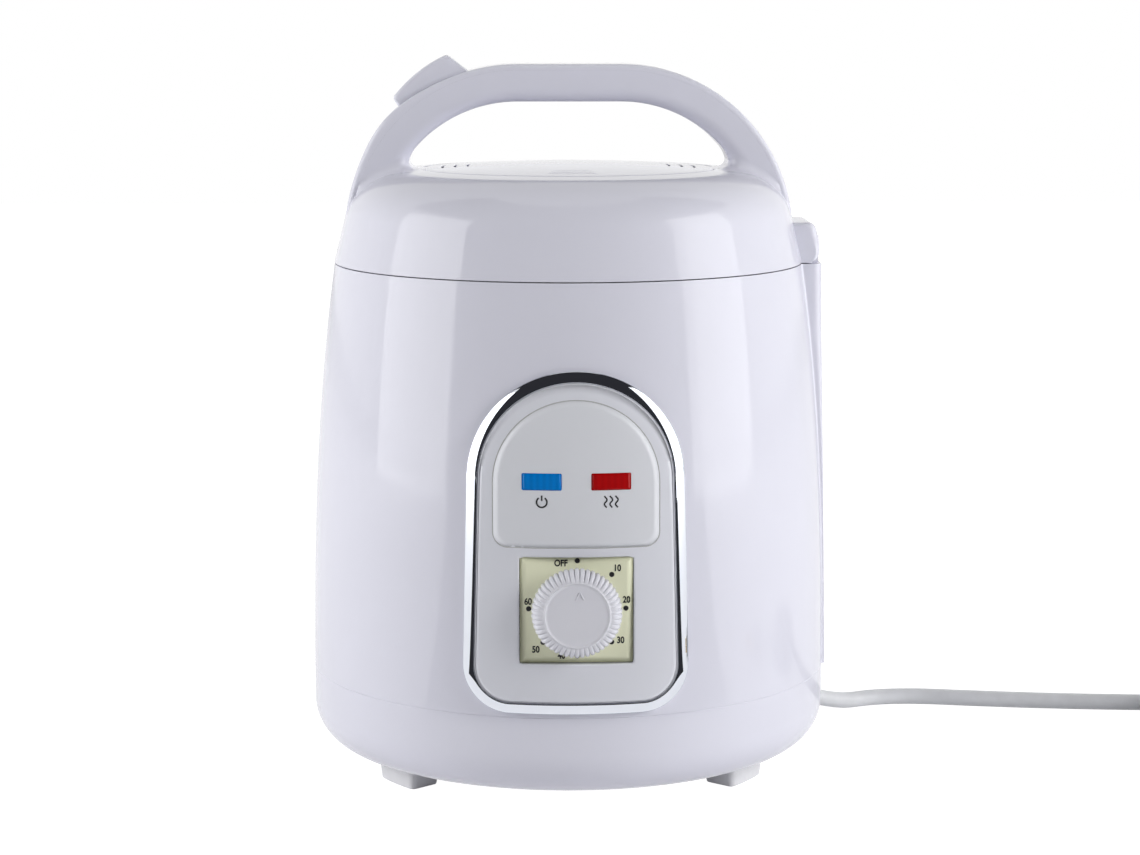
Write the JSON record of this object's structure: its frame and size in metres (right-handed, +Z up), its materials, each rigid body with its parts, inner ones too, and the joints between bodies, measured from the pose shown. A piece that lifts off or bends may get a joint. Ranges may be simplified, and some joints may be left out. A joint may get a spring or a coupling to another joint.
{
  "type": "facial steamer",
  "caption": "Countertop steam generator pot with a hinged vented lid, carrying handle with a release button, clockwork timer knob, indicator lenses and a mains cord.",
  "frame": {"origin": "on the floor directly below the vertical axis of the pot", "axes": "+Z up along the pot's axis; the control panel faces -Y, the lid's hinge is at +X and the release button at -X"},
  "size_m": [0.419, 0.1996, 0.2616],
  "materials": {
    "white_plastic": "gloss",
    "grey_plastic": "satin",
    "label_film": "satin",
    "chrome_trim": "polished",
    "blue_lens": "gloss",
    "red_lens": "gloss",
    "dial_plastic": "satin",
    "knob_plastic": "satin",
    "foot_rubber": "matte",
    "cord_sheath": "matte",
    "tie_plastic": "matte",
    "brass": "polished",
    "steel": "satin",
    "aluminium": "satin",
    "shield_metal": "satin",
    "inner_plastic": "satin",
    "gasket_rubber": "matte",
    "lamp_glass": "clear",
    "wire_insulation": "satin"
  },
  "bodies": {
    "base": {"base_screws": "steel", "base_tray": "white_plastic", "blue_lamp": "lamp_glass", "blue_lens": "blue_lens", "catch_bar": "steel", "coil_tie": "tie_plastic", "cord_coil": "cord_sheath", "cord_tail": "cord_sheath", "dial_plate": "dial_plastic", "element_terminals": "brass", "foot_front_left": "foot_rubber", "foot_front_right": "foot_rubber", "foot_rear_left": "foot_rubber", "foot_rear_right": "foot_rubber", "front_panel": "grey_plastic", "heat_shield": "shield_metal", "heater_wires": "wire_insulation", "heating_plate": "aluminium", "hinge_pin": "steel", "hinge_spring": "steel", "inner_pot": "aluminium", "label_plate": "label_film", "lamp_holder": "inner_plastic", "lamp_wires": "wire_insulation", "mains_cord": "cord_sheath", "panel_trim": "chrome_trim", "plate_pillars": "steel", "plug_body": "cord_sheath", "plug_pins": "brass", "red_lamp": "lamp_glass", "red_lens": "red_lens", "rim_collar": "inner_plastic", "shell": "white_plastic", "strain_relief": "cord_sheath", "supply_wires": "wire_insulation", "terminal_block": "inner_plastic", "thermal_fuse": "shield_metal", "thermostat": "shield_metal", "timer_bracket": "steel", "timer_case": "inner_plastic", "timer_screws": "steel"},
    "lid": {"lid_shell": "white_plastic", "handle_cover": "white_plastic", "vent_plate": "white_plastic", "lid_liner": "inner_plastic", "inner_lid_plate": "aluminium", "lid_gasket": "gasket_rubber", "liner_screws": "steel", "steam_baffle": "inner_plastic", "latch_pin": "steel", "latch_spring": "steel", "button_spring": "steel"},
    "release_button": {"release_button": "white_plastic"},
    "latch_lever": {"latch_lever": "inner_plastic"},
    "timer_knob": {"timer_knob": "knob_plastic", "timer_shaft": "inner_plastic"}
  },
  "joints": [
    {"name": "lid_hinge", "type": "hinge", "parent": "base", "child": "lid", "pos_m": [0.088, 0, 0.191], "axis": [0, 1, 0], "range_deg": [0, 80]},
    {"name": "button_press", "type": "slide", "parent": "lid", "child": "release_button", "axis": [0.5329, 0, -0.8462], "range_m": [0, 0.003], "stiffness_N_per_m": 400, "deforming": ["button_spring"]},
    {"name": "latch_turn", "type": "hinge", "parent": "lid", "child": "latch_lever", "pos_m": [-0.0725, 0, 0.214], "axis": [0, 1, 0], "range_deg": [0, 6]},
    {"name": "timer_turn", "type": "hinge", "parent": "base", "child": "timer_knob", "pos_m": [0, -0.092, 0.0753], "axis": [0, 1, 0], "range_deg": [-7, 263]}
  ],
  "couplings": [
    {"joint": "latch_turn", "follows": "button_press", "rad_per_m": 34.9}
  ]
}
